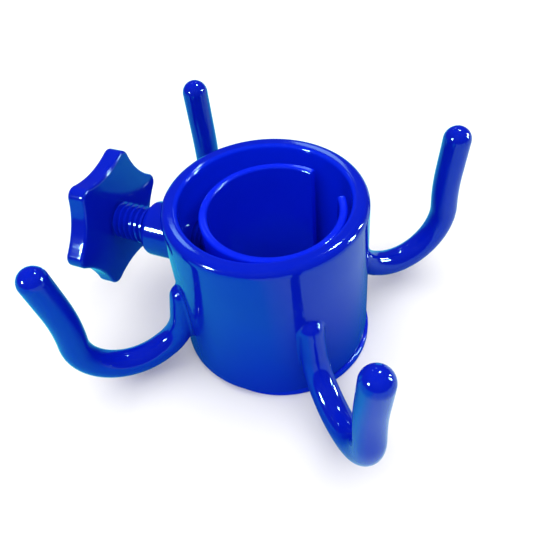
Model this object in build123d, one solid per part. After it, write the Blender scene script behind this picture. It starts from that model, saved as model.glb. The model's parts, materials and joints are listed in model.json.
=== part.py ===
from build123d import *
import math
import os

# Clamp-on hanging hook for an umbrella or parasol pole. A collar with four upturned hooks goes
# round the pole, a split sleeve with a bottom flange sits loosely inside it, and a thumbscrew
# with a star knob goes through a boss on the collar and presses the sleeve shut on the pole.
#
# Millimetres, +Z up. The origin is on the pole's axis, at the bottom face of the sleeve's flange.
# The screw comes in from -X. The hooks stand on the four diagonals.

# Sleeve that closes on the pole
POLE_BORE_R = 19.0
SLEEVE_WALL = 2.5
SLEEVE_TOP = 53.5
SLEEVE_EDGE_ROUND = 0.8
FLANGE_R = 28.9
FLANGE_THICK = 3.0
FLANGE_EDGE_ROUND = 0.6
SPLIT_CENTRE_DEG = 54.0
SPLIT_WIDTH_DEG = 41.0

# Collar, which the screw has pulled off the pole's axis
COLLAR_AXIS_X = -2.4
COLLAR_INNER_R = 25.0
COLLAR_TOP_R = 30.0
COLLAR_BOTTOM_R = 30.5
COLLAR_BOTTOM = FLANGE_THICK + 0.1
COLLAR_TOP = 57.0
RIM_OUTER_ROUND = 2.4
RIM_INNER_ROUND = 1.2
FOOT_ROUND = 0.5

# Hooks, in the vertical plane through the collar's axis: (radius, height) of the rod's centre line.
# They share their bends and differ a little at the tip.
HOOK_ROD_R = 4.4
HOOK_ROOT = (29.4, 30.2)
HOOK_HEEL = (32.2, 14.2)
HOOK_TOE = (66.5, -2.1)
HOOK_KNEE = (63.6, 35.7)
HOOK_BENDS = [13.9, 16.9, 74.0]
HOOK_SPREAD_DEG = 45.6        # from the plane of the screw
HOOKS = {
    "hook_back_right": (HOOK_SPREAD_DEG, (65.2, 53.7)),
    "hook_back_left": (180 - HOOK_SPREAD_DEG, (65.5, 56.0)),
    "hook_front_left": (180 + HOOK_SPREAD_DEG, (66.2, 55.2)),
    "hook_front_right": (-HOOK_SPREAD_DEG, (65.4, 53.8)),
}

# Screw boss on the collar, and the screw through it
SCREW_HEIGHT = 34.0
BOSS_R = 9.0
BOSS_LENGTH = 11.8
BOSS_EDGE_ROUND = 2.0
THREAD_CREST_R = 6.2
THREAD_ROOT_R = 5.1
THREAD_PITCH = 2.0
THREAD_CREST_WIDTH = 0.5
THREAD_ROOT_WIDTH = 1.5
THREAD_BURIED = 0.3           # depth of the ridge's foot inside the core
SCREW_CLEARANCE = 0.06
SCREW_TIP_R = 4.6
SCREW_TIP_LENGTH = 2.5
SCREW_TIP_ROUND = 0.8
TIP_TO_SLEEVE_GAP = 0.05

# Star knob: six lobes
KNOB_STANDOFF = 24.5
KNOB_THICK = 6.3
KNOB_LOBES = 6
KNOB_LOBE_TIP_R = 23.0
KNOB_VALLEY_R = 18.7
KNOB_LOBE_ARC = 3.3
KNOB_EDGE_ROUND = 1.0

# How far a cutting tool runs past the faces that it cuts
CUT_MARGIN = 2.0

# Worked out from the sizes above
SLEEVE_OUTER_R = POLE_BORE_R + SLEEVE_WALL
TIP_END_X = -SLEEVE_OUTER_R - TIP_TO_SLEEVE_GAP
THREAD_END_X = TIP_END_X - SCREW_TIP_LENGTH
KNOB_FACE_X = COLLAR_AXIS_X - COLLAR_TOP_R - KNOB_STANDOFF
BOSS_END_X = COLLAR_AXIS_X - COLLAR_TOP_R - BOSS_LENGTH
SCREW_BORE_R = THREAD_CREST_R + SCREW_CLEARANCE


def revolve_profile(points):
    """Full turn about Z of a closed outline given as (radius, height) points."""
    outline = Plane.XZ * make_face(Polyline(*points, close=True))
    return revolve(outline, axis=Axis.Z, revolution_arc=360)


def collar_envelope():
    """The collar's outside as a solid, slightly wider at its foot for mould draft."""
    points = [
        (0, COLLAR_BOTTOM),
        (COLLAR_BOTTOM_R, COLLAR_BOTTOM),
        (COLLAR_TOP_R, COLLAR_TOP),
        (0, COLLAR_TOP),
    ]
    return Pos(COLLAR_AXIS_X, 0, 0) * revolve_profile(points)


def along_screw(start_x, end_x, radius):
    """Cylinder on the screw's axis from start_x to end_x."""
    length = abs(end_x - start_x)
    centre = (start_x + end_x) / 2
    return Pos(centre, 0, SCREW_HEIGHT) * Rot(0, 90, 0) * Cylinder(radius, length)


def build_collar():
    points = [
        (COLLAR_INNER_R, COLLAR_BOTTOM),
        (COLLAR_BOTTOM_R, COLLAR_BOTTOM),
        (COLLAR_TOP_R, COLLAR_TOP),
        (COLLAR_INNER_R, COLLAR_TOP),
    ]
    collar = Pos(COLLAR_AXIS_X, 0, 0) * revolve_profile(points)
    rims = collar.edges().filter_by(GeomType.CIRCLE).group_by(Axis.Z)
    collar = fillet(rims[-1].sort_by(SortBy.RADIUS)[-1], RIM_OUTER_ROUND)
    rims = collar.edges().filter_by(GeomType.CIRCLE).group_by(Axis.Z)
    collar = fillet(rims[-1].sort_by(SortBy.RADIUS)[0], RIM_INNER_ROUND)
    rims = collar.edges().filter_by(GeomType.CIRCLE).group_by(Axis.Z)
    collar = fillet(rims[0], FOOT_ROUND)
    return collar - along_screw(COLLAR_AXIS_X, BOSS_END_X, SCREW_BORE_R)


def build_hook(angle, tip):
    """Round rod bent to a J, with ball ends, standing against the collar's wall."""
    line = FilletPolyline(HOOK_ROOT, HOOK_HEEL, HOOK_TOE, HOOK_KNEE, tip, radius=HOOK_BENDS)
    path = Plane.XZ * line
    section = Plane(origin=path @ 0, z_dir=path % 0) * Circle(HOOK_ROD_R)
    rod = sweep(section, path=path)
    rod += Pos(path @ 0) * Sphere(HOOK_ROD_R)
    rod += Pos(path @ 1) * Sphere(HOOK_ROD_R)
    placed = Pos(COLLAR_AXIS_X, 0, 0) * Rot(0, 0, angle) * rod
    return placed - collar_envelope()


def build_boss():
    boss = along_screw(COLLAR_AXIS_X - COLLAR_INNER_R, BOSS_END_X, BOSS_R)
    boss = fillet(boss.edges().group_by(Axis.X)[0], BOSS_EDGE_ROUND)
    boss -= collar_envelope()
    return boss - along_screw(COLLAR_AXIS_X, BOSS_END_X - CUT_MARGIN, SCREW_BORE_R)


def split_wedge():
    """The sector that is missing from the sleeve and its flange."""
    half = math.radians(SPLIT_WIDTH_DEG / 2)
    reach = FLANGE_R / math.cos(half) + CUT_MARGIN
    outline = Polyline(
        (0, 0),
        (reach * math.cos(half), -reach * math.sin(half)),
        (reach * math.cos(half), reach * math.sin(half)),
        close=True,
    )
    wedge = extrude(make_face(outline), amount=SLEEVE_TOP + 2 * CUT_MARGIN)
    return Pos(0, 0, -CUT_MARGIN) * Rot(0, 0, SPLIT_CENTRE_DEG) * wedge


def build_sleeve():
    points = [
        (POLE_BORE_R, FLANGE_THICK),
        (SLEEVE_OUTER_R, FLANGE_THICK),
        (SLEEVE_OUTER_R, SLEEVE_TOP),
        (POLE_BORE_R, SLEEVE_TOP),
    ]
    sleeve = revolve_profile(points)
    top_edges = sleeve.edges().filter_by(GeomType.CIRCLE).group_by(Axis.Z)[-1]
    sleeve = fillet(top_edges, SLEEVE_EDGE_ROUND)
    return sleeve - split_wedge()


def build_flange():
    points = [
        (POLE_BORE_R, 0),
        (FLANGE_R, 0),
        (FLANGE_R, FLANGE_THICK),
        (POLE_BORE_R, FLANGE_THICK),
    ]
    flange = revolve_profile(points)
    outer_edges = flange.edges().filter_by(GeomType.CIRCLE).sort_by(SortBy.RADIUS)[-2:]
    flange = fillet(outer_edges, FLANGE_EDGE_ROUND)
    return flange - split_wedge()


def build_screw():
    """Core with one helical ridge, made upright and laid along X with its free end at +X."""
    length = THREAD_END_X - KNOB_FACE_X
    run_out = 2 * THREAD_PITCH
    depth = THREAD_CREST_R - THREAD_ROOT_R
    buried_width = THREAD_ROOT_WIDTH + THREAD_BURIED * (THREAD_ROOT_WIDTH - THREAD_CREST_WIDTH) / depth
    helix = Helix(THREAD_PITCH, length + 2 * THREAD_PITCH, THREAD_ROOT_R)
    ridge_outline = Polyline(
        (-THREAD_BURIED, -buried_width / 2),
        (depth, -THREAD_CREST_WIDTH / 2),
        (depth, THREAD_CREST_WIDTH / 2),
        (-THREAD_BURIED, buried_width / 2),
        close=True,
    )
    start_plane = Plane(origin=helix @ 0, x_dir=(1, 0, 0), z_dir=(0, -1, 0))
    ridge = sweep(start_plane * make_face(ridge_outline), path=helix, is_frenet=True)
    core = Pos(0, 0, length / 2) * Cylinder(THREAD_ROOT_R, length + 2 * run_out)
    limits = Pos(0, 0, length / 2) * Cylinder(THREAD_CREST_R + CUT_MARGIN, length)
    screw = (core + Pos(0, 0, -THREAD_PITCH) * ridge) & limits
    return Pos(KNOB_FACE_X, 0, SCREW_HEIGHT) * Rot(0, 90, 0) * screw


def build_screw_tip():
    tip = along_screw(THREAD_END_X, TIP_END_X, SCREW_TIP_R)
    return fillet(tip.edges().group_by(Axis.X)[-1], SCREW_TIP_ROUND)


def star_outline():
    """Lobe arcs and valley arcs that meet tangentially."""
    half_step = math.pi / KNOB_LOBES
    lobe_centre = KNOB_LOBE_TIP_R - KNOB_LOBE_ARC
    cosine = math.cos(half_step)
    above = lobe_centre**2 + KNOB_VALLEY_R**2 - 2 * lobe_centre * KNOB_VALLEY_R * cosine
    above -= KNOB_LOBE_ARC**2
    below = 2 * (KNOB_LOBE_ARC - KNOB_VALLEY_R + lobe_centre * cosine)
    valley_arc = above / below
    valley_centre = KNOB_VALLEY_R + valley_arc
    share = KNOB_LOBE_ARC / (KNOB_LOBE_ARC + valley_arc)
    join_x = lobe_centre + share * (valley_centre * cosine - lobe_centre)
    join_y = share * valley_centre * math.sin(half_step)
    join_r = math.hypot(join_x, join_y)
    join_angle = math.atan2(join_y, join_x)

    def at(radius, angle):
        return (radius * math.cos(angle), radius * math.sin(angle))

    arcs = []
    for lobe in range(KNOB_LOBES):
        middle = 2 * half_step * lobe
        leaving = at(join_r, middle + join_angle)
        arcs.append(ThreePointArc(at(join_r, middle - join_angle), at(KNOB_LOBE_TIP_R, middle), leaving))
        arriving = at(join_r, middle + 2 * half_step - join_angle)
        arcs.append(ThreePointArc(leaving, at(KNOB_VALLEY_R, middle + half_step), arriving))
    return make_face(arcs)


def build_knob():
    knob = extrude(star_outline(), amount=KNOB_THICK)
    faces = knob.faces().filter_by(Axis.Z)
    knob = fillet(faces.edges(), KNOB_EDGE_ROUND)
    turned = Rot(0, -90, 0) * Rot(0, 0, 90) * knob
    return Pos(KNOB_FACE_X, 0, SCREW_HEIGHT) * turned


def main():
    nodes = {"collar": build_collar()}
    for name, (angle, tip) in HOOKS.items():
        nodes[name] = build_hook(angle, tip)
    nodes["screw_boss"] = build_boss()
    nodes["split_sleeve"] = build_sleeve()
    nodes["sleeve_flange"] = build_flange()
    nodes["clamp_screw"] = build_screw()
    nodes["screw_tip"] = build_screw_tip()
    nodes["star_knob"] = build_knob()
    os.makedirs("parts", exist_ok=True)
    for name, shape in nodes.items():
        export_step(shape, f"parts/{name}.step")


main()
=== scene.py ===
import json
import math

import bmesh
import bpy
import numpy as np
from mathutils import Matrix, Vector


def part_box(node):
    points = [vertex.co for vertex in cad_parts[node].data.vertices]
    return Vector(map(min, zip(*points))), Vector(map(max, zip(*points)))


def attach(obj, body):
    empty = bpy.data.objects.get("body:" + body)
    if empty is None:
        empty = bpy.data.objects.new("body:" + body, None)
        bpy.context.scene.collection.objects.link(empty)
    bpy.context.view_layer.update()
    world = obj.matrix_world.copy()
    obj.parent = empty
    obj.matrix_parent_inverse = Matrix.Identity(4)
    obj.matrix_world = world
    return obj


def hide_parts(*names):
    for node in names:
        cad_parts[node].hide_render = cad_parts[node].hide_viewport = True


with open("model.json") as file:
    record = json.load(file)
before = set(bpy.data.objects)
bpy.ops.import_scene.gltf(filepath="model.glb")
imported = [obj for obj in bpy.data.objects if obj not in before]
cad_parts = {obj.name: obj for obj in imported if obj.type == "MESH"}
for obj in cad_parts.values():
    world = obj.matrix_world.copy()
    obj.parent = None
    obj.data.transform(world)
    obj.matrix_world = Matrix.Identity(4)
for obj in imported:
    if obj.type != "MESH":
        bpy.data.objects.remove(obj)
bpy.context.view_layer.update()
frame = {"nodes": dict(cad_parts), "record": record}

MM = 0.001

# ---------------------------------------------------------------- sizes, from the frame where it can
collar_low, collar_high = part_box("collar")
sleeve_low, sleeve_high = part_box("split_sleeve")
flange_low, flange_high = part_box("sleeve_flange")
boss_low, boss_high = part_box("screw_boss")
knob_low, knob_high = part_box("star_knob")
mounts = {m["name"]: m for m in frame["record"]["mounts"]}

POLE_BORE_R = mounts["pole_clamp"]["dims"]["r_mm"] * MM
INSIDE_CAD = 0.01 * MM
HOOK_ROD_R = mounts["leg_back_right"]["dims"]["r_mm"] * MM - INSIDE_CAD
COLLAR_X = (collar_low.x + collar_high.x) / 2
COLLAR_FOOT_R = (collar_high.x - collar_low.x) / 2
COLLAR_DRAFT = 0.5 * MM
COLLAR_WALL = 5.0 * MM
COLLAR_BOTTOM, COLLAR_TOP = collar_low.z, collar_high.z
COLLAR_TOP_R = COLLAR_FOOT_R - COLLAR_DRAFT
COLLAR_BORE_R = COLLAR_TOP_R - COLLAR_WALL
RIM_OUTER_ROUND = 2.4 * MM
RIM_INNER_ROUND = 1.2 * MM
FOOT_ROUND = 0.5 * MM

SLEEVE_OUTER_R = sleeve_high.y
SPLIT_CENTRE = math.radians(54)
SPLIT_HALF_ANGLE = math.radians(20.5)
SLEEVE_ROUND = 0.8 * MM
SPLIT_EDGE_ROUND = 0.5 * MM
FLANGE_R = flange_high.y
FLANGE_ROUND = 0.6 * MM
FLANGE_BORE_ROUND = 0.3 * MM
CRISP_ROUND = 0.1 * MM

SCREW_Z = (boss_low.z + boss_high.z) / 2
BOSS_R = (boss_high.z - boss_low.z) / 2
BOSS_END_ROUND = 2.0 * MM
BOSS_ROOT_REACH = 3.5 * MM
SCREW_HOLE_R = 6.26 * MM
HOLE_CHAMFER = 0.5 * MM
HOLE_OVERRUN = 5 * MM

ROOT_ROD_R = 4.0 * MM
HOOK_ROOT = Vector((29.4, 30.2)) * MM
HOOK_HEEL = Vector((32.2, 14.2)) * MM
HOOK_TOE = Vector((66.5, -2.1)) * MM
HOOK_KNEE = Vector((63.6, 35.7)) * MM
HOOK_BENDS = (13.9 * MM, 16.9 * MM, 74.0 * MM)
HOOK_SPREAD = 45.6
HOOKS = {
    "back_right": (HOOK_SPREAD, Vector((65.2, 53.7)) * MM),
    "back_left": (180 - HOOK_SPREAD, Vector((65.5, 56.0)) * MM),
    "front_left": (180 + HOOK_SPREAD, Vector((66.2, 55.2)) * MM),
    "front_right": (-HOOK_SPREAD, Vector((65.4, 53.8)) * MM),
}
ROD_GROWTH = 0.4
ROOT_FILLET = 0.8 * MM
ROOT_DEPTH = 2.0 * MM

KNOB_LOBES = 6
KNOB_TIP_R = (knob_high.y - knob_low.y) / 2
KNOB_VALLEY_R = 18.7 * MM
KNOB_LOBE_ARC = 3.3 * MM
KNOB_EDGE_ROUND = 1.0 * MM
KNOB_DISH = 0.5 * MM
KNOB_DISH_REACH = 15 * MM
KNOB_FACE_INSETS = (16 * MM, 12 * MM, 8 * MM, 4 * MM)

# mesh density: counts, and spacings along a rod
COLLAR_SEGMENTS = 288
COLLAR_ROWS = (44, 2, 44, 3)
FOOT_STEPS, RIM_OUTER_STEPS, RIM_INNER_STEPS = 5, 14, 9
HOLE_SEGMENTS = 96
ROD_SEGMENTS = 112
BEND_STEPS = (28, 60, 12)
BALL_STEPS = 16
ROD_SPACING = 0.6 * MM
TIP_SPACING = 0.8 * MM
BOSS_SEGMENTS = 144
BOSS_ROWS = (60, 8, 6)
BOSS_END_STEPS = 12
RING_CORNER_STEPS = 6
SPLIT_STEPS = 236
LOBE_STEPS = 22
VALLEY_STEPS = 26
EDGE_STEPS = 8
SIDE_STEPS = 5
DISH_STEPS = 8
SMALLEST_ROUND = 0.05 * MM
MERGE_DISTANCE = 0.001 * MM
ON_BARREL = 0.01 * MM
FULL_SPREAD_LEAN = 0.35
SHARP_ANGLE = math.radians(35)


# ---------------------------------------------------------------- mesh helpers
def new_piece(name, vertices, faces, body, material, cad_node):
    """A closed smooth-shaded mesh that rides on a body and stands for one CAD node."""
    mesh = bpy.data.meshes.new(name)
    mesh.from_pydata([tuple(v) for v in vertices], [], faces)
    builder = bmesh.new()
    builder.from_mesh(mesh)
    bmesh.ops.remove_doubles(builder, verts=builder.verts, dist=MERGE_DISTANCE)
    bmesh.ops.recalc_face_normals(builder, faces=builder.faces)
    builder.to_mesh(mesh)
    builder.free()
    piece = bpy.data.objects.new(name, mesh)
    bpy.context.scene.collection.objects.link(piece)
    finish_surface(mesh)
    mesh.materials.append(material)
    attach(piece, body)
    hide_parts(cad_node)
    return piece


def finish_surface(mesh):
    """Smooth shading, kept crisp at edges sharper than 35 degrees."""
    mesh.polygons.foreach_set("use_smooth", [True] * len(mesh.polygons))
    mesh.set_sharp_from_angle(angle=SHARP_ANGLE)


def arc(centre, radius, start, end, steps):
    """Points on an arc, angles in degrees."""
    angles = [math.radians(start + (end - start) * i / steps) for i in range(steps + 1)]
    return [(centre[0] + radius * math.cos(a), centre[1] + radius * math.sin(a)) for a in angles]


def spaced(a, b, count):
    """Points strictly between a and b."""
    shares = [(i + 1) / (count + 1) for i in range(count)]
    return [(a[0] + (b[0] - a[0]) * s, a[1] + (b[1] - a[1]) * s) for s in shares]


def joined(corners, rows):
    """Closed loop of corner arcs with rows[i] points between corner i and the next."""
    loop = []
    for i, corner in enumerate(corners):
        loop += corner
        loop += spaced(corner[-1], corners[(i + 1) % len(corners)][0], rows[i])
    return loop


def smooth_step(share):
    """Eases from 0 to 1."""
    return 3 * share**2 - 2 * share**3


def ring_faces(rings, size, close_rings):
    """Quads between neighbouring rings of equal size."""
    faces = []
    last = rings if close_rings else rings - 1
    for i in range(last):
        here, there = i * size, ((i + 1) % rings) * size
        for j in range(size):
            k = (j + 1) % size
            faces.append((here + j, here + k, there + k, there + j))
    return faces


def turned(loop, centre_x, segments):
    """Full turn about a vertical axis of a closed (radius, height) loop."""
    vertices = []
    for i in range(segments):
        angle = 2 * math.pi * i / segments
        for radius, height in loop:
            vertices.append((centre_x + radius * math.cos(angle), radius * math.sin(angle), height))
    return vertices, ring_faces(segments, len(loop), True)


def wall_radius(height):
    """Radius of the collar's outside at a height."""
    share = (height - COLLAR_BOTTOM) / (COLLAR_TOP - COLLAR_BOTTOM)
    return COLLAR_FOOT_R - COLLAR_DRAFT * share


def meet_collar(points, normals, fillet, depth):
    """Spreads a surface into a fillet where it meets the collar, and ends it inside the wall."""
    points = points.copy()
    from_axis = points - np.array([COLLAR_X, 0, 0])
    from_axis[:, 2] = 0
    rho = np.linalg.norm(from_axis, axis=1)
    outward = from_axis / rho[:, None]
    above = rho - wall_radius(points[:, 2])
    along_wall = normals - outward * (normals * outward).sum(1)[:, None]
    length = np.linalg.norm(along_wall, axis=1)
    along_wall /= np.maximum(length, 1e-9)[:, None]
    near = fillet - np.clip(above, 0, fillet)
    spread = fillet - np.sqrt(np.maximum(fillet**2 - near**2, 0))
    spread *= np.clip(length / FULL_SPREAD_LEAN, 0, 1)
    points += along_wall * spread[:, None]
    sunk = np.maximum(-above - depth, 0)
    return points + outward * sunk[:, None]


# ---------------------------------------------------------------- materials
# noise scales are per metre; a bump is its strength and its depth
FLOW_SCALE, CLOUD_SCALE, PEEL_SCALE, HAIRLINE_SCALE = 38, 120, 260, 900
CLOUD_ROUGHNESS = (0.75, 1.25)
RUBBED_ROUGHNESS = (-0.02, 0.03)
PEEL_BUMP = (0.35, 0.03 * MM)
HAIRLINE_BUMP = (0.12, 0.01 * MM)
BLUE = (0.001, 0.010, 0.46)
DEEP_BLUE = (0.001, 0.009, 0.42)
SLEEVE_BLUE = (0.001, 0.014, 0.68)
DEEP_SLEEVE_BLUE = (0.001, 0.012, 0.62)
# painted light: a lighter blue for the inside of the collar's bore
PAINTED_BORE_LIGHT_BLUE = (0.001, 0.020, 0.80)
GLOSS_TINT = (0.45, 0.90, 1.0)
# painted reflection: floor colours that only glossy rays see
PAINTED_REFLECTION_FLOOR = (0.06, 0.74, 0.80)
PAINTED_REFLECTION_RIGHT = (0.45, 0.70, 0.82)
# painted shade: the dark colour glossy rays see under and near the collar
PAINTED_SHADE_UNDER_COLLAR = (0.01, 0.16, 0.40)
ROOM_LIGHT = 0.08
BACKDROP = 0.95


def node(tree, kind, **settings):
    made = tree.nodes.new(kind)
    for key, value in settings.items():
        if key in made.inputs:
            made.inputs[key].default_value = value
        else:
            setattr(made, key, value)
    return made


def noise(tree, place, scale, detail, seed):
    """Three-dimensional noise in the piece's own metres."""
    made = node(tree, "ShaderNodeTexNoise", noise_dimensions="4D")
    made.inputs["Scale"].default_value = scale
    made.inputs["Detail"].default_value = detail
    made.inputs["W"].default_value = seed
    tree.links.new(place, made.inputs["Vector"])
    return made.outputs["Fac"]


def ramped(tree, value, low, high):
    """Maps noise, mostly between 0.3 and 0.7, to a range."""
    made = node(tree, "ShaderNodeMapRange")
    made.inputs["From Min"].default_value = 0.3
    made.inputs["From Max"].default_value = 0.7
    made.inputs["To Min"].default_value = low
    made.inputs["To Max"].default_value = high
    tree.links.new(value, made.inputs["Value"])
    return made.outputs["Result"]


def blended(tree, factor, low, high):
    """Colour that goes from low to high with factor; low and high are colours or sockets."""
    made = node(tree, "ShaderNodeMix", data_type="RGBA")
    tree.links.new(factor, made.inputs["Factor"])
    for name, colour in (("A", low), ("B", high)):
        if isinstance(colour, tuple):
            made.inputs[name].default_value = (*colour, 1)
        else:
            tree.links.new(colour, made.inputs[name])
    return made.outputs["Result"]


def between(tree, value, low, high):
    """0 at low, 1 at high, held outside them."""
    made = node(tree, "ShaderNodeMapRange")
    made.inputs["From Min"].default_value = low
    made.inputs["From Max"].default_value = high
    tree.links.new(value, made.inputs["Value"])
    return made.outputs["Result"]


def painted_bore_light(tree, place, outside, inside):
    """Painted light: the colour within the collar's bore, lighter to stand in for the light inside
    it that the photograph shows.
    """
    from_axis = node(tree, "ShaderNodeVectorMath", operation="MULTIPLY_ADD")
    from_axis.inputs[1].default_value = (1, 1, 0)
    from_axis.inputs[2].default_value = (-COLLAR_X, 0, 0)
    tree.links.new(place, from_axis.inputs[0])
    reach = node(tree, "ShaderNodeVectorMath", operation="LENGTH")
    tree.links.new(from_axis.outputs["Vector"], reach.inputs[0])
    share = between(tree, reach.outputs["Value"], COLLAR_BORE_R + RIM_INNER_ROUND, COLLAR_BORE_R)
    return blended(tree, share, outside, inside)


def bumped(tree, height, strength, distance, under=None):
    """Normal raised by height, on top of the normal under it."""
    made = node(tree, "ShaderNodeBump")
    made.inputs["Strength"].default_value = strength
    made.inputs["Distance"].default_value = distance
    tree.links.new(height, made.inputs["Height"])
    if under:
        tree.links.new(under, made.inputs["Normal"])
    return made.outputs["Normal"]


def moulded_plastic(name, colour, shade, roughness, seed, scratch_axis, inside=None):
    """Gloss pigmented plastic: flow marks in the colour, faint orange peel, hairline rubbing; with
    inside, painted light that makes the bore lighter.
    """
    material = bpy.data.materials.new(name)
    material.use_nodes = True
    tree = material.node_tree
    shader = tree.nodes["Principled BSDF"]
    place = node(tree, "ShaderNodeTexCoord").outputs["Object"]

    flow = ramped(tree, noise(tree, place, FLOW_SCALE, 3, seed), 0, 1)
    tint = blended(tree, flow, shade, colour)
    # painted light: the colour turns lighter inside the bore
    if inside:
        tint = painted_bore_light(tree, place, tint, inside)
    tree.links.new(tint, shader.inputs["Base Color"])

    stretch = node(tree, "ShaderNodeMapping")
    stretch.inputs["Scale"].default_value = scratch_axis
    tree.links.new(place, stretch.inputs["Vector"])
    hairline = noise(tree, stretch.outputs["Vector"], HAIRLINE_SCALE, 4, seed + 1)
    cloud = noise(tree, place, CLOUD_SCALE, 2, seed + 2)
    low, high = CLOUD_ROUGHNESS
    total = node(tree, "ShaderNodeMath", operation="ADD")
    tree.links.new(ramped(tree, cloud, roughness * low, roughness * high), total.inputs[0])
    tree.links.new(ramped(tree, hairline, *RUBBED_ROUGHNESS), total.inputs[1])
    tree.links.new(total.outputs[0], shader.inputs["Roughness"])

    peel = bumped(tree, noise(tree, place, PEEL_SCALE, 2, seed + 3), *PEEL_BUMP)
    tree.links.new(bumped(tree, hairline, *HAIRLINE_BUMP, peel), shader.inputs["Normal"])
    shader.inputs["IOR"].default_value = 1.5
    shader.inputs["Specular Tint"].default_value = (*GLOSS_TINT, 1)
    return material


collar_plastic = moulded_plastic(
    "collar_plastic_gloss", BLUE, DEEP_BLUE, roughness=0.07, seed=2.0, scratch_axis=(1, 1, 0.08)
)
# the collar wall's material carries painted light that makes its bore lighter
wall_plastic_painted_bore_light = moulded_plastic(
    "collar_wall_plastic_gloss", BLUE, DEEP_BLUE, 0.07, 2.0, (1, 1, 0.08), inside=PAINTED_BORE_LIGHT_BLUE
)
sleeve_plastic = moulded_plastic(
    "sleeve_plastic_gloss", SLEEVE_BLUE, DEEP_SLEEVE_BLUE, 0.09, 11.0, (1, 1, 0.05)
)
screw_plastic = moulded_plastic("screw_plastic_gloss", BLUE, DEEP_BLUE, 0.08, 23.0, (0.1, 1, 1))


# ---------------------------------------------------------------- collar
def collar_loop():
    """Closed outline of the collar's wall as (radius, height), from the foot round the outside."""
    foot_outer = (COLLAR_FOOT_R - FOOT_ROUND, COLLAR_BOTTOM + FOOT_ROUND)
    rim_outer = (COLLAR_TOP_R - RIM_OUTER_ROUND, COLLAR_TOP - RIM_OUTER_ROUND)
    rim_inner = (COLLAR_BORE_R + RIM_INNER_ROUND, COLLAR_TOP - RIM_INNER_ROUND)
    foot_inner = (COLLAR_BORE_R + FOOT_ROUND, COLLAR_BOTTOM + FOOT_ROUND)
    corners = [
        arc(foot_outer, FOOT_ROUND, -90, 0, FOOT_STEPS),
        arc(rim_outer, RIM_OUTER_ROUND, 0, 90, RIM_OUTER_STEPS),
        arc(rim_inner, RIM_INNER_ROUND, 90, 180, RIM_INNER_STEPS),
        arc(foot_inner, FOOT_ROUND, 180, 270, FOOT_STEPS),
    ]
    return joined(corners, COLLAR_ROWS)


def cut_hole(piece, radius, start_x, end_x):
    """Cuts a round hole along the screw's axis."""
    count = HOLE_SEGMENTS
    rings = []
    for x in (start_x, end_x):
        for i in range(count):
            angle = 2 * math.pi * i / count
            rings.append((x, radius * math.cos(angle), SCREW_Z + radius * math.sin(angle)))
    caps = [tuple(range(count)), tuple(range(2 * count - 1, count - 1, -1))]
    tool_mesh = bpy.data.meshes.new("hole_tool")
    tool_mesh.from_pydata(rings, [], ring_faces(2, count, False) + caps)
    builder = bmesh.new()
    builder.from_mesh(tool_mesh)
    bmesh.ops.recalc_face_normals(builder, faces=builder.faces)
    builder.to_mesh(tool_mesh)
    builder.free()
    tool = bpy.data.objects.new("hole_tool", tool_mesh)
    bpy.context.scene.collection.objects.link(tool)
    modifier = piece.modifiers.new("hole", "BOOLEAN")
    modifier.operation = "DIFFERENCE"
    modifier.solver = "EXACT"
    modifier.object = tool
    evaluated = piece.evaluated_get(bpy.context.evaluated_depsgraph_get())
    result = bpy.data.meshes.new_from_object(evaluated)
    piece.modifiers.remove(modifier)
    piece.data = result
    finish_surface(result)
    bpy.data.objects.remove(tool)


def make_collar():
    vertices, faces = turned(collar_loop(), COLLAR_X, COLLAR_SEGMENTS)
    piece = new_piece(
        "collar_wall", vertices, faces, "hook_collar", wall_plastic_painted_bore_light, "collar"
    )
    outside = COLLAR_X - COLLAR_FOOT_R - HOLE_OVERRUN
    cut_hole(piece, SCREW_HOLE_R, outside, COLLAR_X - COLLAR_BORE_R / 2)


# ---------------------------------------------------------------- hooks
def bend(corner, before, after, radius, steps):
    """Arc of that radius tangent to the two runs that meet at corner."""
    to_before = (before - corner).normalized()
    to_after = (after - corner).normalized()
    half = to_before.angle(to_after) / 2
    reach = radius / math.tan(half)
    centre = corner + (to_before + to_after).normalized() * (radius / math.sin(half))
    start = corner + to_before * reach - centre
    end = corner + to_after * reach - centre
    first = math.atan2(start.y, start.x)
    turn = (math.atan2(end.y, end.x) - first + math.pi) % (2 * math.pi) - math.pi
    angles = [first + turn * i / steps for i in range(steps + 1)]
    return [centre + Vector((math.cos(a), math.sin(a))) * radius for a in angles]


def run(a, b, spacing):
    """Points from a up to but not including b."""
    count = max(1, round((b - a).length / spacing))
    return [a.lerp(b, i / count) for i in range(count)]


def hook_line(tip):
    """Centre line of a hook as (radius, height) points with their directions."""
    corners = [HOOK_ROOT, HOOK_HEEL, HOOK_TOE, HOOK_KNEE, tip]
    points = []
    start = HOOK_ROOT
    for i, (radius, steps) in enumerate(zip(HOOK_BENDS, BEND_STEPS), start=1):
        turn = bend(corners[i], corners[i - 1], corners[i + 1], radius, steps)
        points += run(start, turn[0], ROD_SPACING) + turn[:-1]
        start = turn[-1]
    points += run(start, tip, TIP_SPACING) + [tip]
    directions = []
    for i in range(len(points)):
        ahead = points[min(i + 1, len(points) - 1)]
        behind = points[max(i - 1, 0)]
        directions.append((ahead - behind).normalized())
    return points, directions


def rod_radius(share):
    """The rod is a little thinner at its root and full by the bottom of the bend."""
    return ROOT_ROD_R + (HOOK_ROD_R - ROOT_ROD_R) * smooth_step(min(share / ROD_GROWTH, 1.0))


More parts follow.
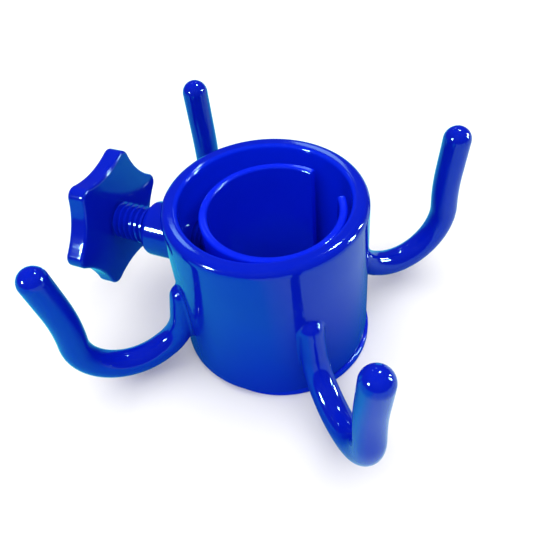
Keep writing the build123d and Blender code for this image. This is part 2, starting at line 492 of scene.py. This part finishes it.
def rod_rings(points, directions):
    """Rings along the rod, half balls included: (centre, direction, radius, normal's lean)."""
    last = len(points) - 1
    rings = []
    for i in range(BALL_STEPS - 1, 0, -1):
        lean = math.pi / 2 * i / BALL_STEPS
        centre = points[0] - directions[0] * (ROOT_ROD_R * math.sin(lean))
        rings.append((centre, directions[0], ROOT_ROD_R * math.cos(lean), -math.sin(lean)))
    for i, (point, direction) in enumerate(zip(points, directions)):
        rings.append((point, direction, rod_radius(i / last), 0.0))
    for i in range(1, BALL_STEPS):
        lean = math.pi / 2 * i / BALL_STEPS
        centre = points[-1] + directions[-1] * (HOOK_ROD_R * math.sin(lean))
        rings.append((centre, directions[-1], HOOK_ROD_R * math.cos(lean), math.sin(lean)))
    return rings


def make_hook(place, angle, tip):
    """Round rod on the hook's line, with ball ends and a moulded fillet at the collar."""
    points, directions = hook_line(tip)
    rings = rod_rings(points, directions)
    out = Vector((math.cos(math.radians(angle)), math.sin(math.radians(angle)), 0))
    side = Vector((-out.y, out.x, 0))
    axis = Vector((COLLAR_X, 0, 0))
    vertices, normals = [], []
    for centre, direction, radius, lean in rings:
        along = out * direction.x + Vector((0, 0, direction.y))
        across = out * direction.y - Vector((0, 0, direction.x))
        middle = axis + out * centre.x + Vector((0, 0, centre.y))
        for i in range(ROD_SEGMENTS):
            turn = 2 * math.pi * i / ROD_SEGMENTS
            spoke = across * math.cos(turn) + side * math.sin(turn)
            vertices.append(middle + spoke * radius)
            normals.append(spoke * math.sqrt(1 - lean**2) + along * lean)
    poles = []
    for end, radius, sign in ((0, ROOT_ROD_R, -1), (-1, HOOK_ROD_R, 1)):
        along = out * directions[end].x + Vector((0, 0, directions[end].y))
        middle = axis + out * points[end].x + Vector((0, 0, points[end].y))
        poles.append(len(vertices))
        vertices.append(middle + along * (sign * radius))
        normals.append(along * sign)
    faces = ring_faces(len(rings), ROD_SEGMENTS, False)
    last = (len(rings) - 1) * ROD_SEGMENTS
    for i in range(ROD_SEGMENTS):
        k = (i + 1) % ROD_SEGMENTS
        faces.append((i, poles[0], k))
        faces.append((last + i, last + k, poles[1]))
    settled = meet_collar(np.array(vertices), np.array(normals), ROOT_FILLET, ROOT_DEPTH)
    name = "hook_" + place
    new_piece(name + "_rod", settled, faces, "hook_collar", collar_plastic, name)


# ---------------------------------------------------------------- screw boss
def make_boss():
    """Barrel round the screw, rounded at its free end, filleted into the collar."""
    end = boss_low.x
    inner_end = COLLAR_X - COLLAR_BORE_R - COLLAR_WALL / 2
    wall = COLLAR_X - COLLAR_TOP_R
    corner = (end + BOSS_END_ROUND, BOSS_R - BOSS_END_ROUND)
    past_fillet = (wall - BOSS_ROOT_REACH, BOSS_R)
    root_rows, barrel_rows, hole_rows = BOSS_ROWS
    outline = [(inner_end, BOSS_R)] + spaced((inner_end, BOSS_R), past_fillet, root_rows)
    outline += spaced(past_fillet, (end + BOSS_END_ROUND, BOSS_R), barrel_rows)
    outline += arc(corner, BOSS_END_ROUND, 90, 180, BOSS_END_STEPS)
    outline += [(end, SCREW_HOLE_R + HOLE_CHAMFER), (end + HOLE_CHAMFER, SCREW_HOLE_R)]
    hole_end = (inner_end, SCREW_HOLE_R)
    outline += spaced(outline[-1], hole_end, hole_rows) + [hole_end]
    vertices, normals, barrel = [], [], []
    for i in range(BOSS_SEGMENTS):
        angle = 2 * math.pi * i / BOSS_SEGMENTS
        spoke = Vector((0, math.cos(angle), math.sin(angle)))
        for x, radius in outline:
            vertices.append(Vector((x, 0, SCREW_Z)) + spoke * radius)
            normals.append(spoke)
            barrel.append(radius > BOSS_R - ON_BARREL)
    points, normals, barrel = np.array(vertices), np.array(normals), np.array(barrel)
    points[barrel] = meet_collar(points[barrel], normals[barrel], ROOT_FILLET, COLLAR_WALL)
    faces = ring_faces(BOSS_SEGMENTS, len(outline), True)
    new_piece(
        "screw_boss_barrel",
        points,
        faces,
        "hook_collar",
        collar_plastic,
        "screw_boss",
    )


# ---------------------------------------------------------------- split sleeve and its flange
def rounded_box_loop(inner, outer, low, high, rounds, inset):
    """Closed (radius, height) loop of a wall's section.

    rounds are the corner radii: low outer, high outer, high inner, low inner.
    """
    inner, outer, low, high = inner + inset, outer - inset, low + inset, high - inset
    low_out, high_out, high_in, low_in = [max(r - inset / 2, SMALLEST_ROUND) for r in rounds]
    corners = [
        arc((outer - low_out, low + low_out), low_out, -90, 0, RING_CORNER_STEPS),
        arc((outer - high_out, high - high_out), high_out, 0, 90, RING_CORNER_STEPS),
        arc((inner + high_in, high - high_in), high_in, 90, 180, RING_CORNER_STEPS),
        arc((inner + low_in, low + low_in), low_in, 180, 270, RING_CORNER_STEPS),
    ]
    return joined(corners, [RING_CORNER_STEPS] * len(corners))


def split_stations(mean_radius):
    """(angle, inset) pairs round the C, with the insets that round its two ends."""
    start = SPLIT_CENTRE + SPLIT_HALF_ANGLE
    end = SPLIT_CENTRE - SPLIT_HALF_ANGLE + 2 * math.pi
    edge = SPLIT_EDGE_ROUND / mean_radius
    corner = []
    for i in range(RING_CORNER_STEPS + 1):
        lean = math.pi / 2 * (RING_CORNER_STEPS - i) / RING_CORNER_STEPS
        corner.append((edge * (1 - math.sin(lean)), SPLIT_EDGE_ROUND * (1 - math.cos(lean))))
    span = end - start - 2 * edge
    stations = [(start + angle, inset) for angle, inset in corner]
    stations += [(start + edge + span * i / SPLIT_STEPS, 0.0) for i in range(1, SPLIT_STEPS)]
    stations += [(end - angle, inset) for angle, inset in reversed(corner)]
    return stations


def make_split_ring(name, outer, low, high, rounds, cad_node):
    """A C-shaped ring round the pole with its split's edges rounded."""
    stations = split_stations((POLE_BORE_R + outer) / 2)
    vertices = []
    for angle, inset in stations:
        for radius, height in rounded_box_loop(POLE_BORE_R, outer, low, high, rounds, inset):
            vertices.append((radius * math.cos(angle), radius * math.sin(angle), height))
    size = len(vertices) // len(stations)
    faces = ring_faces(len(stations), size, False)
    faces.append(tuple(range(size)))
    faces.append(tuple(range(len(vertices) - 1, len(vertices) - 1 - size, -1)))
    new_piece(name, vertices, faces, "sleeve", sleeve_plastic, cad_node)


# ---------------------------------------------------------------- star knob
def star_ring(inset):
    """Outline of the star, drawn in by inset: lobe arcs and valley arcs that meet tangentially."""
    half_step = math.pi / KNOB_LOBES
    lobe_centre = KNOB_TIP_R - KNOB_LOBE_ARC
    cosine = math.cos(half_step)
    above = lobe_centre**2 + KNOB_VALLEY_R**2 - 2 * lobe_centre * KNOB_VALLEY_R * cosine
    above -= KNOB_LOBE_ARC**2
    below = 2 * (KNOB_LOBE_ARC - KNOB_VALLEY_R + lobe_centre * cosine)
    valley_arc = above / below
    valley_centre = KNOB_VALLEY_R + valley_arc
    middle = (valley_centre * cosine, valley_centre * math.sin(half_step))
    from_lobe = Vector((middle[0] - lobe_centre, middle[1]))
    lean = math.degrees(math.atan2(from_lobe.y, from_lobe.x))
    step = math.degrees(half_step)
    ring = []
    for lobe in range(KNOB_LOBES):
        turn = Matrix.Rotation(2 * half_step * lobe, 2)
        tip = arc((lobe_centre, 0), KNOB_LOBE_ARC - inset, -lean, lean, LOBE_STEPS)
        valley = arc(middle, valley_arc + inset, 180 + lean, 180 + 2 * step - lean, VALLEY_STEPS)
        ring += [turn @ Vector(p) for p in tip + valley[1:-1]]
    return ring


def knob_layers(face, back):
    """(x, inset from the outline) from the flat face, over both edges, to the dished back."""
    layers = [(face, inset) for inset in KNOB_FACE_INSETS + (KNOB_EDGE_ROUND,)]
    quarter = [math.pi / 2 * i / EDGE_STEPS for i in range(EDGE_STEPS + 1)]
    for lean in quarter[1:]:
        drop = KNOB_EDGE_ROUND * (1 - math.cos(lean))
        layers.append((face - drop, KNOB_EDGE_ROUND * (1 - math.sin(lean))))
    thickness = back - face + 2 * KNOB_EDGE_ROUND
    for i in range(1, SIDE_STEPS):
        layers.append((face - KNOB_EDGE_ROUND + thickness * i / SIDE_STEPS, 0))
    for lean in quarter:
        rise = KNOB_EDGE_ROUND * (1 - math.sin(lean))
        layers.append((back + rise, KNOB_EDGE_ROUND * (1 - math.cos(lean))))
    for i in range(1, DISH_STEPS + 1):
        share = i / DISH_STEPS
        dished = back + KNOB_DISH * smooth_step(share)
        layers.append((dished, KNOB_EDGE_ROUND + share * KNOB_DISH_REACH))
    return layers


def make_knob():
    """Star with rounded edges, flat towards the collar and slightly dished on the outside."""
    face, back = knob_high.x, knob_low.x
    layers = knob_layers(face, back)
    vertices = []
    for x, inset in layers:
        drawn = min(inset, KNOB_EDGE_ROUND)
        shrink = 1 - (inset - drawn) / KNOB_VALLEY_R
        for p in star_ring(drawn):
            vertices.append((x, p.x * shrink, SCREW_Z + p.y * shrink))
    size = len(vertices) // len(layers)
    faces = ring_faces(len(layers), size, False)
    middle_face = len(vertices)
    middle_back = middle_face + 1
    vertices += [(face, 0, SCREW_Z), (back + KNOB_DISH, 0, SCREW_Z)]
    last = (len(layers) - 1) * size
    for i in range(size):
        k = (i + 1) % size
        faces.append((i, middle_face, k))
        faces.append((last + i, last + k, middle_back))
    new_piece(
        "star_knob_body", vertices, faces, "thumbscrew", screw_plastic, "star_knob"
    )


# ---------------------------------------------------------------- stage, lights, camera
CAMERA_AZIMUTH, CAMERA_ELEVATION, CAMERA_ROLL = -62.8, 46.4, -6.76
CAMERA_DISTANCE = 194.36 * MM
CAMERA_TARGET = Vector((COLLAR_X - 1.06 * MM, -1.26 * MM, 29.37 * MM))
CAMERA_LENS = 41.68
FLOOR_HALF = 1.1
LIGHT_AIM = Vector((0, 0, 30 * MM))
PAPER_SCALE = 30
PAPER_WHITES = ((0.87, 0.87, 0.855), (0.89, 0.89, 0.875))

# each light: azimuth, elevation, distance, width, height, watts, colour
SOFT_LIGHTS = {
    "overhead": (0, 90, 1.0, 2.4, 2.4, 37.0, (1, 1, 1)),
    "front_fill": (-80, 48, 1.0, 0.8, 0.8, 2.0, (1, 1, 1)),
}
WINDOWS = {
    "window_left": (-127, 28, 0.6, 0.09, 0.09, 4.5, (1, 1, 1)),
    "window_top": (74, 60, 0.6, 0.09, 0.04, 1.6, (1, 1, 1)),
    "window_rim_back": (108, 37, 0.6, 0.06, 0.08, 0.06, (0.7, 0.9, 1)),
    "window_rim_left": (132.5, 45, 0.6, 0.04, 0.04, 0.03, (0.7, 0.9, 1)),
    "window_right_wide": (23, 17, 0.6, 0.07, 0.18, 3.4, (0.8, 0.9, 1)),
    "window_right_narrow": (38, 17, 0.6, 0.03, 0.12, 1.6, (1, 1, 1)),
}


def floor_paper_painted_reflection():
    """White paper with a faint mottle to the camera and to diffuse light.

    Glossy rays see a painted reflection in its place, chosen to match the photograph's reflections:
    blue-green, paler to the right, and dark under and near the collar as painted shade.
    """
    material = bpy.data.materials.new("floor_paper_painted_reflection")
    material.use_nodes = True
    tree = material.node_tree
    shader = tree.nodes["Principled BSDF"]
    place = node(tree, "ShaderNodeTexCoord").outputs["Object"]
    pale = blended(tree, noise(tree, place, PAPER_SCALE, 4, 5.0), *PAPER_WHITES)

    # painted shade: the colour glossy rays see turns dark under and near the collar, out to twice
    # the foot's radius
    reach = node(tree, "ShaderNodeVectorMath", operation="LENGTH")
    tree.links.new(place, reach.inputs[0])
    clear = between(tree, reach.outputs["Value"], COLLAR_FOOT_R, 2 * COLLAR_FOOT_R)
    parts = node(tree, "ShaderNodeSeparateXYZ")
    tree.links.new(place, parts.inputs["Vector"])
    across = between(tree, parts.outputs["X"], COLLAR_FOOT_R / 2, 1.5 * COLLAR_FOOT_R)
    # painted reflection: blue-green floor colour, paler to the right, for glossy rays only
    open_floor = blended(tree, across, PAINTED_REFLECTION_FLOOR, PAINTED_REFLECTION_RIGHT)
    painted_reflection_colour = blended(tree, clear, PAINTED_SHADE_UNDER_COLLAR, open_floor)
    glossy_ray = node(tree, "ShaderNodeLightPath").outputs["Is Glossy Ray"]
    tree.links.new(blended(tree, glossy_ray, pale, painted_reflection_colour), shader.inputs["Base Color"])
    shader.inputs["Roughness"].default_value = 0.9
    shader.inputs["Specular IOR Level"].default_value = 0.0
    return material


def make_floor():
    """Table under the object."""
    half = FLOOR_HALF
    mesh = bpy.data.meshes.new("floor")
    corners = [(-half, -half, 0), (half, -half, 0), (half, half, 0), (-half, half, 0)]
    mesh.from_pydata(corners, [], [(0, 1, 2, 3)])
    floor = bpy.data.objects.new("floor", mesh)
    bpy.context.scene.collection.objects.link(floor)
    mesh.materials.append(floor_paper_painted_reflection())


def direction_to(azimuth, elevation):
    """Unit vector, azimuth in degrees from +X towards +Y."""
    a, e = math.radians(azimuth), math.radians(elevation)
    return Vector((math.cos(a) * math.cos(e), math.sin(a) * math.cos(e), math.sin(e)))


def make_light(name, azimuth, elevation, distance, width, height, power, colour, diffuse, glossy):
    """Soft rectangular light aimed at the middle of the collar."""
    data = bpy.data.lights.new(name, "AREA")
    data.shape = "RECTANGLE"
    data.size = width
    data.size_y = height
    data.energy = power
    data.color = colour
    light = bpy.data.objects.new(name, data)
    bpy.context.scene.collection.objects.link(light)
    light.location = LIGHT_AIM + direction_to(azimuth, elevation) * distance
    light.visible_diffuse = diffuse
    light.visible_glossy = glossy
    light.rotation_euler = (LIGHT_AIM - light.location).to_track_quat("-Z", "Y").to_euler()


def make_camera():
    """Looks down on the object from the front right."""
    level = direction_to(CAMERA_AZIMUTH + 90, 0)
    back = direction_to(CAMERA_AZIMUTH, CAMERA_ELEVATION)
    upright = back.cross(level)
    roll = math.radians(CAMERA_ROLL)
    right = level * math.cos(roll) + upright * math.sin(roll)
    up = -level * math.sin(roll) + upright * math.cos(roll)
    data = bpy.data.cameras.new("camera")
    data.sensor_width = 36
    data.lens = CAMERA_LENS
    data.clip_start = 10 * MM
    camera = bpy.data.objects.new("camera", data)
    bpy.context.scene.collection.objects.link(camera)
    axes = Matrix((right, up, back)).transposed().to_4x4()
    camera.matrix_world = Matrix.Translation(CAMERA_TARGET + back * CAMERA_DISTANCE) @ axes
    bpy.context.scene.camera = camera


def make_world():
    """Surroundings that are pale to the camera and dim to every other ray."""
    world = bpy.data.worlds.new("studio")
    bpy.context.scene.world = world
    world.use_nodes = True
    tree = world.node_tree
    background = tree.nodes["Background"]
    brightness = node(tree, "ShaderNodeMapRange")
    brightness.inputs["To Min"].default_value = ROOM_LIGHT
    brightness.inputs["To Max"].default_value = BACKDROP
    camera_ray = node(tree, "ShaderNodeLightPath").outputs["Is Camera Ray"]
    tree.links.new(camera_ray, brightness.inputs["Value"])
    background.inputs["Color"].default_value = (1, 1, 1, 1)
    tree.links.new(brightness.outputs["Result"], background.inputs["Strength"])


make_camera()
make_collar()
for place, (angle, tip) in HOOKS.items():
    make_hook(place, angle, tip)
make_boss()
sleeve_rounds = (CRISP_ROUND, SLEEVE_ROUND, SLEEVE_ROUND, CRISP_ROUND)
make_split_ring(
    "split_sleeve_shell", SLEEVE_OUTER_R, sleeve_low.z, sleeve_high.z, sleeve_rounds, "split_sleeve"
)
flange_rounds = (FLANGE_ROUND, FLANGE_ROUND, CRISP_ROUND, FLANGE_BORE_ROUND)
make_split_ring(
    "sleeve_flange_ring", FLANGE_R, flange_low.z, flange_high.z, flange_rounds, "sleeve_flange"
)
make_knob()
for cad_node in ("clamp_screw", "screw_tip"):
    kept = frame["nodes"][cad_node]
    kept.data.materials.clear()
    kept.data.materials.append(screw_plastic)

make_floor()
make_world()
for name, light in SOFT_LIGHTS.items():
    make_light(name, *light, True, False)
for name, light in WINDOWS.items():
    make_light(name, *light, False, True)
bpy.context.scene.view_settings.view_transform = "Standard"
